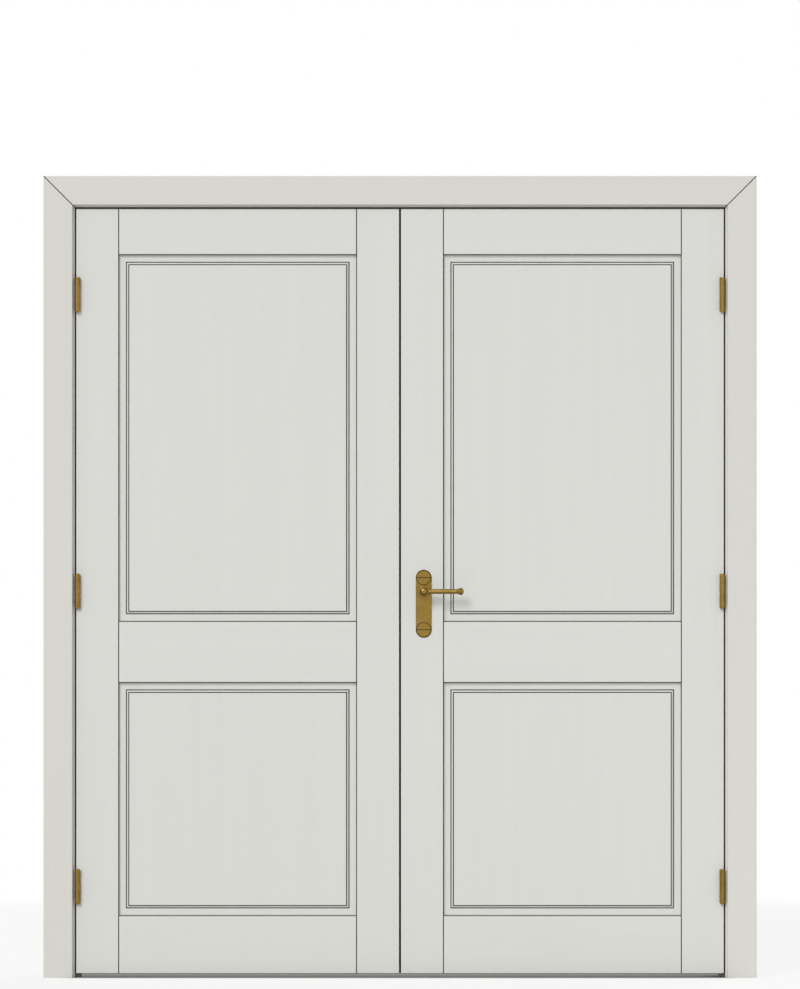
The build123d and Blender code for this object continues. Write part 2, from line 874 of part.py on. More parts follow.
def backplates():
    """The front plate takes the ends of the bolts in blind holes, and the rear plate takes their heads."""
    blank = plate_blank()
    with BuildPart() as front:
        add(blank)
        with Locations(*[Plane((lever_x, leaf_front, z), z_dir=(0, 1, 0)) for z in disc_heights]):
            Hole(through_bolt_radius + screw_clearance, depth=through_bolt_hold + screw_clearance)
    save(front, "front_backplate")
    with BuildPart() as rear:
        add(mirror(blank, about=mid_plane, mode=Mode.PRIVATE))
        screw_holes(through_bolt_places(), through_bolt_head, through_bolt_radius)
    save(rear, "rear_backplate")


def right_screws():
    """The latch plate's screws, and the bolts that hold both backplates from behind."""
    side = sides["right"]
    bolt_shank = plate_thick + disc_rise - score_depth + leaf_thick + through_bolt_hold
    with BuildPart() as piece:
        screws(
            edge_screw_places(side, latch_plate_mid, latch_plate_height),
            small_head_radius,
            small_shank_radius,
            small_screw_length,
        )
        screws(through_bolt_places(), through_bolt_head, through_bolt_radius, bolt_shank)
    save(piece, "right_screws")


def levers():
    """Turned hubs with a straight round bar that ends in a flared and domed knob.

    A turned groove parts the bar from the flare, and another parts the flare from the dome."""
    bar_y = leaf_front - lever_stand_off
    hub_plane = Plane((lever_x, leaf_front, lever_height), x_dir=(0, -1, 0), z_dir=(-1, 0, 0))
    bar_plane = Plane((lever_x, bar_y, lever_height), x_dir=(1, 0, 0), z_dir=(0, -1, 0))
    collar_start = plate_thick + lever_clearance
    collar_end = collar_start + collar_length
    hub_start = lever_stand_off - hub_length / 2
    hub_end = lever_stand_off + hub_length / 2
    seat_line = hub_end - button_seat_depth
    flare_end = bar_length + flare_length
    dome_start = flare_end + turned_width
    socket = spindle_section(spindle_side + 2 * spindle_clearance)
    with BuildPart() as front:
        with BuildSketch(hub_plane):
            with BuildLine():
                Polyline(
                    (lever_clearance, 0),
                    (lever_clearance, journal_radius),
                    (collar_start, journal_radius),
                    (collar_start, collar_radius),
                    (collar_end, collar_radius),
                )
                ThreePointArc(
                    (collar_end, collar_radius),
                    ((collar_end + hub_start) / 2, waist_radius),
                    (hub_start, hub_radius),
                )
                Line((hub_start, hub_radius), (hub_end - hub_round, hub_radius))
                RadiusArc((hub_end - hub_round, hub_radius), (hub_end, hub_radius - hub_round), hub_round)
                Polyline(
                    (hub_end, hub_radius - hub_round),
                    (hub_end, button_radius + button_seat_width),
                    (seat_line, button_radius + button_seat_width),
                    (seat_line, button_radius),
                    (hub_end, button_radius),
                )
                EllipticalCenterArc((hub_end, 0), button_rise, button_radius, start_angle=0, arc_size=90)
                Line((hub_end + button_rise, 0), (lever_clearance, 0))
            make_face()
        revolve(axis=Axis(hub_plane.origin, hub_plane.x_dir))
        with BuildSketch(bar_plane):
            with BuildLine():
                Polyline(
                    (0, 0),
                    (0, bar_radius),
                    (bar_length - turned_width, bar_radius),
                    (bar_length - turned_width, bar_radius - turned_depth),
                    (bar_length, bar_radius - turned_depth),
                    (bar_length, bar_radius),
                    (flare_end, knob_radius),
                    (flare_end, knob_radius - turned_depth),
                    (dome_start, knob_radius - turned_depth),
                    (dome_start, knob_radius),
                )
                EllipticalCenterArc(
                    (dome_start, 0), knob_dome - turned_width, knob_radius, start_angle=0, arc_size=90
                )
                Line((flare_end + knob_dome, 0), (0, 0))
            make_face()
        revolve(axis=Axis(bar_plane.origin, bar_plane.x_dir))
        extrude(socket, amount=leaf_thick / 2 + spindle_engaged + spindle_clearance, mode=Mode.SUBTRACT)
    with BuildPart() as rear:
        add(mirror(front.part, about=mid_plane, mode=Mode.PRIVATE))
    save(front, "front_lever")
    save(rear, "rear_lever")


def meeting_seal():
    """A brush seal: a base let into the edge and a pile that closes the meeting gap."""
    mid = leaf_front + seal_inset
    with BuildPart() as piece:
        block(
            (leaf_edge, mid - seal_base_width / 2, leaf_bottom),
            (leaf_edge + seal_base_depth, mid + seal_base_width / 2, leaf_top),
        )
        block(
            (leaf_edge, mid - seal_pile_width / 2, leaf_bottom),
            (-leaf_edge + seal_clearance, mid + seal_pile_width / 2, leaf_top),
        )
    save(piece, "meeting_seal")


os.makedirs("parts", exist_ok=True)
for side_name, side_sign in sides.items():
    jamb(side_name, side_sign)
    leaf_frame(side_name, side_sign)
head_jamb()
stops()
casings()
hinges()
hinge_pins()
hinge_screws()
left_meeting_stile()
right_meeting_stile()
strike_plate()
flush_bolts()
head_keep()
left_edge_screws()
latch_case()
latch_bolt()
latch_follower()
spindle()
backplates()
right_screws()
levers()
meeting_seal()
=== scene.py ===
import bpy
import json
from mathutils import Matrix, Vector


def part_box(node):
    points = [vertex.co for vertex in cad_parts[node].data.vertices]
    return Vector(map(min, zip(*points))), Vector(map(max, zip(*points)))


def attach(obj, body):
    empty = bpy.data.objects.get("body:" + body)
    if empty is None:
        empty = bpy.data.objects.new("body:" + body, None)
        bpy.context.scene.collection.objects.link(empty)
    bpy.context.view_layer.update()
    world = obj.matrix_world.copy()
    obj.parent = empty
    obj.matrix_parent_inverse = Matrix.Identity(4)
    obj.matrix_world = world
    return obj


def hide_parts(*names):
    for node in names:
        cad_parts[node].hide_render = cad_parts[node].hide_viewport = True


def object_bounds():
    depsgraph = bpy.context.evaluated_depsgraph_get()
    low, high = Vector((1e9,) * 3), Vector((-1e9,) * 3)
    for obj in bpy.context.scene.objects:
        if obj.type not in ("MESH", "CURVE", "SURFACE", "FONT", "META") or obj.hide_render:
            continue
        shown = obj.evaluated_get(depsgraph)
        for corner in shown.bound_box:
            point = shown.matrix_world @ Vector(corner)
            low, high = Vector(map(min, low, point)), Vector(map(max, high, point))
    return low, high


bl_info = {
    "name": "Painted French Doors",
    "version": (1, 0, 0),
    "blender": (4, 5, 0),
    "location": "3D View > Sidebar > Doors",
    "description": "Dresses framed, panelled doors: paint, brass furniture, pile seal and a plain stage",
    "category": "Object",
}

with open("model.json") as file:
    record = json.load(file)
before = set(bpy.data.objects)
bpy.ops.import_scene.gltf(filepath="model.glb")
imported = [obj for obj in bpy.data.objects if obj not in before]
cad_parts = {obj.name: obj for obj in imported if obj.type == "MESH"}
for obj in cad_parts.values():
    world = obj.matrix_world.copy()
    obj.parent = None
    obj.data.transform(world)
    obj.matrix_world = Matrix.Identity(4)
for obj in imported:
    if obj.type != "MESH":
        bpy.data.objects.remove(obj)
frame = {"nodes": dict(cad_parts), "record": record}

import json
import math

import bpy
import numpy as np
from bpy.props import FloatProperty, FloatVectorProperty, IntProperty, PointerProperty
from mathutils import Vector

CAD_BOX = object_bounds()
NODES = frame["nodes"]
SLOT_OF = {row["node"]: row["material_slot"] for row in frame["record"]["subparts"]}
BODY_OF = {node: body for body, nodes in frame["record"]["behaviour"]["bodies"].items() for node in nodes}

# Shares of the pile seal's own sizes, and the sides of a tuft
CHANNEL_SHARE = 0.35
LIP_SHARE = 0.35
ROW_SHARE = 0.42
LEAN_SHARE = 0.6
SIDE_LEAN_SHARE = 0.5
DROP_SHARE = 0.14
STEP_SHARE = 0.35
TUFT_PLACE_SHARES = (0.0, 0.55, 0.97)
TUFT_RADIUS_SHARES = (0.56, 0.5, 0.22)
TUFT_SIDES = 5

# Where the hub's face starts on a lever's reach
HUB_FACE_SHARE = 0.958

# Places on the doors, read from the frame, in metres
LEAF_LOW, LEAF_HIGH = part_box("right_meeting_stile")
LEAF_MID = (LEAF_LOW.y + LEAF_HIGH.y) / 2
LEAF_HALF = (LEAF_HIGH.y - LEAF_LOW.y) / 2
HINGE_STILE_LOW, HINGE_STILE_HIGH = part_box("right_hinge_stile")
OPENING_LOW_X = LEAF_HIGH.x
OPENING_HIGH_X = HINGE_STILE_LOW.x
OPENING_HEIGHTS = {
    "lower": (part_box("right_bottom_rail")[1].z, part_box("right_lock_rail")[0].z),
    "upper": (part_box("right_lock_rail")[1].z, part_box("right_top_rail")[0].z),
}
SEAL_LOW, SEAL_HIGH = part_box("meeting_seal")
SEAL_MID = (SEAL_LOW.y + SEAL_HIGH.y) / 2
SEAL_HALF = (SEAL_HIGH.y - SEAL_LOW.y) / 2
CHANNEL_FLOOR = LEAF_LOW.x + (SEAL_HIGH.x - LEAF_LOW.x) * CHANNEL_SHARE
CASING_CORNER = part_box("casing_head")[1]
DOORWAY_MID = (0, (LEAF_LOW.y + CAD_BOX[1].y) / 2, 0)
DOORWAY_HALF = (HINGE_STILE_HIGH.x, (CAD_BOX[1].y - LEAF_LOW.y) / 2, 0)
PLATE_LOW, PLATE_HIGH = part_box("front_backplate")
PLATE_HALF = (PLATE_HIGH.x - PLATE_LOW.x) / 2
LEVER_LOW, LEVER_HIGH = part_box("front_lever")
SPINDLE_LOW, SPINDLE_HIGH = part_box("spindle")
SPINDLE_MID = (SPINDLE_LOW + SPINDLE_HIGH) / 2

# Turns of a pattern that is drawn out along Z: left upright, or laid along X
QUARTER_TURN = math.radians(90)
UPRIGHT = (0, 0, 0)
ALONG_X = (0, QUARTER_TURN, 0)

# The picture's height and floor line, in pixels, and the size of one pixel at the doors, in metres
PICTURE_HEIGHT = 989
FLOOR_LINE = 977.5
PIXEL = 0.0025895
VIEW_HEIGHT = (FLOOR_LINE - PICTURE_HEIGHT / 2) * PIXEL

# The camera, its sight as a share of its distance, and the lights' places
SENSOR = 36.0
SIGHT_SHARE = 2
KEY_PLACE = (-1.8, -5.5, 3.2)
BACK_PLACE = (3.0, 5.0, 4.2)

# The floor's rings and spokes, and the radius of its innermost ring
FLOOR_RINGS = 12
FLOOR_SPOKES = 96
FLOOR_CORE = 0.01

# Places of the colour sockets on a mix node
MIX_SHARE, MIX_FIRST, MIX_SECOND = 0, 6, 7
MIX_RESULT = 2


def srgb(red, green, blue):
    """Linear colour of an 8-bit display colour: straight up to a knee, and a power curve above it."""
    top, knee, slope, offset, power = 255, 0.04045, 12.92, 0.055, 2.4
    share = np.array([red, green, blue]) / top
    linear = np.where(share <= knee, share / slope, ((share + offset) / (1 + offset)) ** power)
    return tuple(float(value) for value in linear)


# What a user may change

class PaintSettings(bpy.types.PropertyGroup):
    leaf_colour: FloatVectorProperty(
        name="Leaf paint", description="Paint on stiles, rails and panels", subtype="COLOR",
        size=3, min=0, max=1, default=srgb(217, 218, 213),
    )
    frame_colour: FloatVectorProperty(
        name="Frame paint", description="Paint on lining, stops and casings", subtype="COLOR",
        size=3, min=0, max=1, default=srgb(215, 213, 208),
    )
    # Painted shade: this dark colour is laid into V-joints, quirks and mitres, and along the leaves' arrises
    painted_joint_shade: FloatVectorProperty(
        name="Joint shade", description="Shade in V-joints and quirks, and on arrises", subtype="COLOR",
        size=3, min=0, max=1, default=srgb(38, 37, 35),
    )
    timber_colour: FloatVectorProperty(
        name="Bare timber", description="Unpainted timber inside the mortices", subtype="COLOR",
        size=3, min=0, max=1, default=srgb(166, 132, 92),
    )
    bare_depth: FloatProperty(
        name="Bare depth", description="Depth under the faces at which the timber is unpainted",
        unit="LENGTH", min=0.001, default=0.0022,
    )
    roughness: FloatProperty(
        name="Paint roughness", description="Satin finish of the paint", subtype="FACTOR",
        min=0, max=1, default=0.42,
    )
    stroke_width: FloatProperty(
        name="Brush mark width", description="Spacing of the marks that the brush leaves",
        unit="LENGTH", min=0.0005, default=0.0035,
    )
    stroke_length: FloatProperty(
        name="Brush mark length", description="Length of the marks along the timber",
        unit="LENGTH", min=0.01, default=0.22,
    )
    stroke_depth: FloatProperty(
        name="Brush mark depth", description="Height of the ridges in the paint",
        unit="LENGTH", min=0, default=0.00012,
    )
    joint_depth: FloatProperty(
        name="Joint depth", description="Depth at which a V-joint is fully shaded",
        unit="LENGTH", min=0.0001, default=0.0005,
    )
    joint_limit: FloatProperty(
        name="Joint limit", description="Depth just past a V-joint's floor, where its shade ends",
        unit="LENGTH", min=0.0001, default=0.0016,
    )
    joint_reach: FloatProperty(
        name="Joint reach", description="How far a mitre's shade reaches to each side",
        unit="LENGTH", min=0, default=0.0016,
    )
    panel_margin: FloatProperty(
        name="Panel margin", description="Flat margin from the frame to the first quirk",
        unit="LENGTH", min=0, default=0.0195,
    )
    panel_bevel: FloatProperty(
        name="Panel bevel", description="Bevel between the two quirks",
        unit="LENGTH", min=0, default=0.0065,
    )
    quirk_width: FloatProperty(
        name="Quirk width", description="Width of the two lines sunk round each panel",
        unit="LENGTH", min=0, default=0.0026,
    )


class BrassSettings(bpy.types.PropertyGroup):
    hinge_colour: FloatVectorProperty(
        name="Hinge brass", description="Aged brass of hinges and edge plates", subtype="COLOR",
        size=3, min=0, max=1, default=srgb(146, 119, 60),
    )
    handle_colour: FloatVectorProperty(
        name="Handle brass", description="Aged brass of levers and backplates", subtype="COLOR",
        size=3, min=0, max=1, default=srgb(141, 116, 57),
    )
    patina_colour: FloatVectorProperty(
        name="Patina", description="Brown bloom on aged brass", subtype="COLOR",
        size=3, min=0, max=1, default=srgb(104, 76, 36),
    )
    recess_colour: FloatVectorProperty(
        name="Recess patina", description="Dark patina in scores and turned grooves", subtype="COLOR",
        size=3, min=0, max=1, default=srgb(48, 36, 20),
    )
    disc_radius: FloatProperty(
        name="Disc radius", description="Radius of the raised discs on the backplates",
        unit="LENGTH", min=0, default=0.0186,
    )
    score_width: FloatProperty(
        name="Score width", description="Width of the scores across the discs",
        unit="LENGTH", min=0, default=0.0018,
    )
    button_radius: FloatProperty(
        name="Button radius", description="Radius of the button on each lever's hub",
        unit="LENGTH", min=0, default=0.0079,
    )
    button_seat: FloatProperty(
        name="Button seat", description="Width of the dark ring round the button",
        unit="LENGTH", min=0, default=0.0022,
    )
    groove_width: FloatProperty(
        name="Groove width", description="Width of the turned grooves at the lever's end",
        unit="LENGTH", min=0, default=0.0014,
    )
    knob_length: FloatProperty(
        name="Knob length", description="Length of the lever's domed end, with its groove",
        unit="LENGTH", min=0, default=0.009,
    )
    flare_length: FloatProperty(
        name="Flare length", description="Length of the flare between the two turned grooves",
        unit="LENGTH", min=0, default=0.008,
    )
    roughness: FloatProperty(
        name="Brass roughness", description="Satin finish of the brass", subtype="FACTOR",
        min=0, max=1, default=0.34,
    )
    line_width: FloatProperty(
        name="Polish line width", description="Spacing of the polishing lines",
        unit="LENGTH", min=0.0001, default=0.0006,
    )
    bloom_size: FloatProperty(
        name="Bloom size", description="Size of the brown blotches",
        unit="LENGTH", min=0.001, default=0.035,
    )


class SteelSettings(bpy.types.PropertyGroup):
    bright_colour: FloatVectorProperty(
        name="Bright plating", description="Zinc plating between its blotches", subtype="COLOR",
        size=3, min=0, max=1, default=srgb(172, 174, 176),
    )
    dull_colour: FloatVectorProperty(
        name="Dull plating", description="Zinc plating in its crystal blotches", subtype="COLOR",
        size=3, min=0, max=1, default=srgb(162, 165, 168),
    )
    crystal_size: FloatProperty(
        name="Crystal size", description="Size of the soft blotches in the plating",
        unit="LENGTH", min=0.001, default=0.006,
    )
    roughness: FloatProperty(
        name="Steel roughness", description="Satin finish of the plating", subtype="FACTOR",
        min=0, max=1, default=0.38,
    )


class SealSettings(bpy.types.PropertyGroup):
    colour: FloatVectorProperty(
        name="Pile colour", description="Dark pile between the leaves", subtype="COLOR",
        size=3, min=0, max=1, default=srgb(34, 33, 32),
    )
    blotch_size: FloatProperty(
        name="Pile blotch size", description="Size of the lighter patches in the pile",
        unit="LENGTH", min=0.001, default=0.004,
    )
    pitch: FloatProperty(
        name="Tuft pitch", description="Spacing of the tufts up the edge",
        unit="LENGTH", min=0.001, default=0.0014,
    )
    rows: IntProperty(name="Tuft rows", description="Rows of tufts across the strip", min=1, default=3)
    fin: FloatProperty(
        name="Fin", description="Thickness of the thin fin inside the pile",
        unit="LENGTH", min=0.00005, default=0.0003,
    )
    fin_reach: FloatProperty(
        name="Fin reach", description="How far the fin reaches past the pile, towards the other leaf",
        unit="LENGTH", min=0, default=0.00025,
    )
    seed: IntProperty(name="Tuft seed", description="Seed of the lean of the tufts", min=0, default=7)


class StageSettings(bpy.types.PropertyGroup):
    lens: FloatProperty(
        name="Lens", description="Long lens, so that the view is close to a flat elevation",
        subtype="DISTANCE_CAMERA", min=50, default=300.0,
    )
    ambient: FloatProperty(
        name="Ambient", description="Strength of the light from all round", min=0, default=0.54,
    )
    key_strength: FloatProperty(
        name="Key light", description="Soft even light from in front, up and to the left",
        min=0, default=1.49,
    )
    back_strength: FloatProperty(
        name="Back light", description="Soft even light from behind the doors", min=0, default=1.1,
    )
    softness: FloatProperty(
        name="Light softness", description="Angle that each light fills, as seen from the doors",
        subtype="ANGLE", min=0, default=math.radians(24),
    )
    floor_colour: FloatVectorProperty(
        name="Floor", description="Plain pale floor", subtype="COLOR",
        size=3, min=0, max=1, default=srgb(224, 224, 222),
    )
    # Painted shade: the floor between the jambs is coloured darker, standing in for the doors' shadow
    painted_doorway_shade: FloatVectorProperty(
        name="Doorway floor", description="Darker floor between the jambs", subtype="COLOR",
        size=3, min=0, max=1, default=srgb(156, 156, 153),
    )
    floor_radius: FloatProperty(
        name="Floor radius", description="Radius at which the floor has faded into the background",
        unit="LENGTH", min=1, default=4.5,
    )
    # The painted shade round the doorway fades out over this distance
    floor_lift: FloatProperty(
        name="Floor lift", description="Distance from the doors over which the floor grows lighter",
        unit="LENGTH", min=0.01, default=0.06,
    )


# Meshes

def grid_faces(rows, columns, wrap_columns=False):
    """Quads of a grid of points, as an array of four indices each."""
    column_count = columns if wrap_columns else columns - 1
    row, column = np.meshgrid(np.arange(rows - 1), np.arange(column_count), indexing="ij")
    next_row = row + 1
    next_column = (column + 1) % columns
    corners = [row * columns + column, row * columns + next_column]
    corners += [next_row * columns + next_column, next_row * columns + column]
    return np.stack(corners, axis=-1).reshape(-1, 4)


def new_piece(name, points, faces):
    """A mesh object at the origin, with its place in its points."""
    mesh = bpy.data.meshes.new(name)
    mesh.from_pydata(points.reshape(-1, 3), [], faces)
    mesh.validate()
    mesh.update()
    piece = bpy.data.objects.new(name, mesh)
    bpy.context.scene.collection.objects.link(piece)
    return piece


# Shader nodes

def is_socket(value):
    """True for a node's socket, and False for a plain value."""
    return isinstance(value, bpy.types.NodeSocket)


def add_node(tree, kind, feeds=None, **settings):
    """Adds a node. feeds maps an input's name or number to a socket to link or a value to set."""
    made = tree.nodes.new(kind)
    for key, value in settings.items():
        setattr(made, key, value)
    for key, value in (feeds or {}).items():
        if is_socket(value):
            tree.links.new(value, made.inputs[key])
        else:
            made.inputs[key].default_value = value
    return made


def math_node(tree, operation, *values):
    """A math node's result, from sockets or numbers."""
    return add_node(tree, "ShaderNodeMath", dict(enumerate(values)), operation=operation).outputs[0]


def vector_node(tree, operation, *values):
    """A vector math node's result, from sockets or vectors."""
    made = add_node(tree, "ShaderNodeVectorMath", dict(enumerate(values)), operation=operation)
    return made.outputs["Value" if operation == "LENGTH" else "Vector"]


def split_place(tree, place):
    """The X, Y and Z of a place."""
    return add_node(tree, "ShaderNodeSeparateXYZ", {0: place}).outputs


def smooth_ramp(tree, value, low, high):
    """0 up to the low value, 1 from the high one on, and a smooth step between them."""
    feeds = {"Value": value, "From Min": low, "From Max": high}
    return add_node(tree, "ShaderNodeMapRange", feeds, interpolation_type="SMOOTHSTEP").outputs["Result"]


def blend_colour(tree, share, first, second):
    """First colour, turning into the second as the share goes from 0 to 1."""
    first, second = (value if is_socket(value) else (*value, 1) for value in (first, second))
    feeds = {MIX_SHARE: share, MIX_FIRST: first, MIX_SECOND: second}
    return add_node(tree, "ShaderNodeMix", feeds, data_type="RGBA").outputs[MIX_RESULT]


# Surface effects that the materials share

def new_group(name, labels, outputs):
    """An empty shader group that takes a vector and numbers: its tree, its inputs and its output node."""
    tree = bpy.data.node_groups.new(name, "ShaderNodeTree")
    tree.interface.new_socket("Vector", in_out="INPUT", socket_type="NodeSocketVector")
    for label in labels:
        tree.interface.new_socket(label, in_out="INPUT", socket_type="NodeSocketFloat")
    for label in outputs:
        tree.interface.new_socket(label, in_out="OUTPUT", socket_type="NodeSocketFloat")
    sockets = tree.nodes.new("NodeGroupInput").outputs
    return tree, sockets, tree.nodes.new("NodeGroupOutput")


def use_group(tree, name, feeds):
    """Places a shared effect in a material and gives its outputs."""
    return add_node(tree, "ShaderNodeGroup", feeds, node_tree=bpy.data.node_groups[name]).outputs


def make_drawn_marks():
    """Marks drawn out along Z, as a brush or a polishing belt leaves them.

    The coordinate is divided by the marks' width across and by their length along, so that a noise of unit
    size is stretched to them. Fine is the marks' height, and Broad is the slow unevenness under them."""
    scale_and_detail = {"Fine": (1.0, 3.0), "Broad": (0.11, 2.0)}
    tree, sockets, out = new_group("drawn_marks", ("Width", "Length"), scale_and_detail)
    width, length = sockets["Width"], sockets["Length"]
    size = add_node(tree, "ShaderNodeCombineXYZ", {0: width, 1: width, 2: length}).outputs[0]
    drawn = vector_node(tree, "DIVIDE", sockets["Vector"], size)
    for label, (scale, detail) in scale_and_detail.items():
        noise = add_node(tree, "ShaderNodeTexNoise", {"Vector": drawn, "Scale": scale, "Detail": detail})
        tree.links.new(noise.outputs["Fac"], out.inputs[label])


def make_sunk_shade():
    """Share of painted shade by how far a point lies below a face: 0 on it, 1 from the given depth under it,
    and 0 again past a limit.

    Faces stand on both sides of a middle plane across Y, so the depth is the face's distance from the plane
    less the point's."""
    tree, sockets, out = new_group("sunk_shade", ("Middle", "Face", "Depth", "Limit"), ["Shade"])
    offset = math_node(tree, "SUBTRACT", split_place(tree, sockets["Vector"])["Y"], sockets["Middle"])
    below = math_node(tree, "SUBTRACT", sockets["Face"], math_node(tree, "ABSOLUTE", offset))
    share = math_node(tree, "DIVIDE", below, sockets["Depth"])
    inside = math_node(tree, "LESS_THAN", below, sockets["Limit"])
    capped = math_node(tree, "MINIMUM", math_node(tree, "MAXIMUM", share, 0.0), 1.0)
    tree.links.new(math_node(tree, "MULTIPLY", capped, inside), out.inputs["Shade"])


def make_ring():
    """1 in a ring round an axis along Y, where the distance from the axis is within half a width of a radius.

    Inside is 1 where that distance is less than the radius."""
    labels = ("Axis X", "Axis Z", "Radius", "Width")
    tree, sockets, out = new_group("ring", labels, ["Shade", "Inside"])
    split = split_place(tree, sockets["Vector"])
    offsets = [math_node(tree, "SUBTRACT", split[axis], sockets["Axis " + axis]) for axis in "XZ"]
    squares = [math_node(tree, "MULTIPLY", offset, offset) for offset in offsets]
    distance = math_node(tree, "SQRT", math_node(tree, "ADD", *squares))
    half = math_node(tree, "MULTIPLY", sockets["Width"], 0.5)
    tree.links.new(math_node(tree, "COMPARE", distance, sockets["Radius"], half), out.inputs["Shade"])
    tree.links.new(math_node(tree, "LESS_THAN", distance, sockets["Radius"]), out.inputs["Inside"])


def box_labels(axes):
    """Names of the inputs that give a box's middle and half size along some axes."""
    return [part + axis for axis in axes for part in ("Middle ", "Half ")]


def box_inset(tree, sockets, axes):
    """Smallest distance to a box's sides along some axes.

    X is taken without its sign, so that both leaves are alike."""
    split = split_place(tree, sockets["Vector"])
    rooms = []
    for axis in axes:
        value = math_node(tree, "ABSOLUTE", split[axis]) if axis == "X" else split[axis]
        offset = math_node(tree, "ABSOLUTE", math_node(tree, "SUBTRACT", value, sockets["Middle " + axis]))
        rooms.append(math_node(tree, "SUBTRACT", sockets["Half " + axis], offset))
    inset = rooms[0]
    for room in rooms[1:]:
        inset = math_node(tree, "MINIMUM", inset, room)
    return inset


def make_inset_shade():
    """Painted shade in lines that run round a rectangular opening, at two insets from its edge.

    A point shades where its inset is within half a line's width of a line, or of the opening's own edge."""
    labels = (*box_labels("XZ"), "First", "Second", "Width")
    tree, sockets, out = new_group("inset_shade", labels, ["Shade"])
    inset = box_inset(tree, sockets, "XZ")
    half = math_node(tree, "MULTIPLY", sockets["Width"], 0.5)
    lines = [math_node(tree, "COMPARE", inset, sockets[label], half) for label in ("First", "Second")]
    edge = math_node(tree, "LESS_THAN", inset, half)
    shade = math_node(tree, "MAXIMUM", edge, math_node(tree, "MAXIMUM", *lines))
    tree.links.new(shade, out.inputs["Shade"])


def make_core():
    """1 where a point's inset from a box's sides is more than a given depth, and 0 elsewhere."""
    tree, sockets, out = new_group("core", (*box_labels("XYZ"), "Depth"), ["Inside"])
    inset = box_inset(tree, sockets, "XYZ")
    tree.links.new(math_node(tree, "GREATER_THAN", inset, sockets["Depth"]), out.inputs["Inside"])


def make_bloom():
    """Soft blotches, as patina or handling leaves them, from 0 on clean metal to 1 in a blotch."""
    clean_share = 0.38
    full_share = 0.72
    texture = {"Detail": 5.0, "Roughness": 0.62}
    tree, sockets, out = new_group("bloom", ["Size"], ["Blotch"])
    scale = math_node(tree, "DIVIDE", 1.0, sockets["Size"])
    cloud = add_node(tree, "ShaderNodeTexNoise", {"Vector": sockets["Vector"], "Scale": scale, **texture})
    tree.links.new(smooth_ramp(tree, cloud.outputs["Fac"], clean_share, full_share), out.inputs["Blotch"])


# Materials

def new_material(name):
    """An empty material: its tree, its Principled shader and its object coordinates."""
    material = bpy.data.materials.new(name)
    material.use_nodes = True
    tree = material.node_tree
    place = add_node(tree, "ShaderNodeTexCoord").outputs["Object"]
    return material, tree, tree.nodes["Principled BSDF"], place


def turn_pattern(tree, place, turn):
    """Coordinates turned so that the pattern's length, along Z, lies along the piece."""
    if turn == UPRIGHT:
        return place
    return add_node(tree, "ShaderNodeMapping", {"Vector": place, "Rotation": turn}).outputs["Vector"]


def vary_roughness(tree, shader, value, middle, swing):
    """Roughness that swings about a middle as the value goes from 0 to 1."""
    low = middle - swing / 2
    rough = add_node(tree, "ShaderNodeMapRange", {"Value": value, "To Min": low, "To Max": low + swing})
    tree.links.new(rough.outputs["Result"], shader.inputs["Roughness"])


def raise_marks(tree, shader, height, distance, strength):
    """Relief of the marks."""
    bump = add_node(tree, "ShaderNodeBump", {"Strength": strength, "Distance": distance, "Height": height})
    tree.links.new(bump.outputs["Normal"], shader.inputs["Normal"])


def joint_shade(tree, place):
    """Painted shade in the leaves' V-joints and along their arrises, from 0 on the faces to 1."""
    settings = bpy.context.scene.door_paint
    feeds = {
        "Vector": place, "Middle": LEAF_MID, "Face": LEAF_HALF,
        "Depth": settings.joint_depth, "Limit": settings.joint_limit,
    }
    return use_group(tree, "sunk_shade", feeds)["Shade"]


def mitre_shade(tree, place):
    """Painted shade in the casings' mitres.

    A mitre is where a point's height less its distance from the middle is that of the outer corner."""
    settings = bpy.context.scene.door_paint
    split = split_place(tree, place)
    slope = math_node(tree, "SUBTRACT", split["Z"], math_node(tree, "ABSOLUTE", split["X"]))
    return math_node(tree, "COMPARE", slope, CASING_CORNER.z - CASING_CORNER.x, settings.joint_reach)


def quirk_shade(opening):
    """A maker of painted shade in the two quirks of the panels, and at the edge of their opening, in the
    lower or the upper openings.
    """
    settings = bpy.context.scene.door_paint
    low, high = OPENING_HEIGHTS[opening]
    feeds = {
        "Middle X": (OPENING_LOW_X + OPENING_HIGH_X) / 2,
        "Half X": (OPENING_HIGH_X - OPENING_LOW_X) / 2,
        "Middle Z": (low + high) / 2,
        "Half Z": (high - low) / 2,
        "First": settings.panel_margin,
        "Second": settings.panel_margin + settings.panel_bevel,
        "Width": settings.quirk_width,
    }
    return lambda tree, place: use_group(tree, "inset_shade", {"Vector": place, **feeds})["Shade"]


def bare_mortices(tree, place):
    """Unpainted timber inside the mortices of the meeting stiles."""
    middle = (LEAF_LOW + LEAF_HIGH) / 2
    half = (LEAF_HIGH - LEAF_LOW) / 2
    feeds = dict(zip(box_labels("XYZ"), (middle.x, half.x, middle.y, half.y, middle.z, half.z)))
    depth = bpy.context.scene.door_paint.bare_depth
    return use_group(tree, "core", {"Vector": place, "Depth": depth, **feeds})["Inside"]


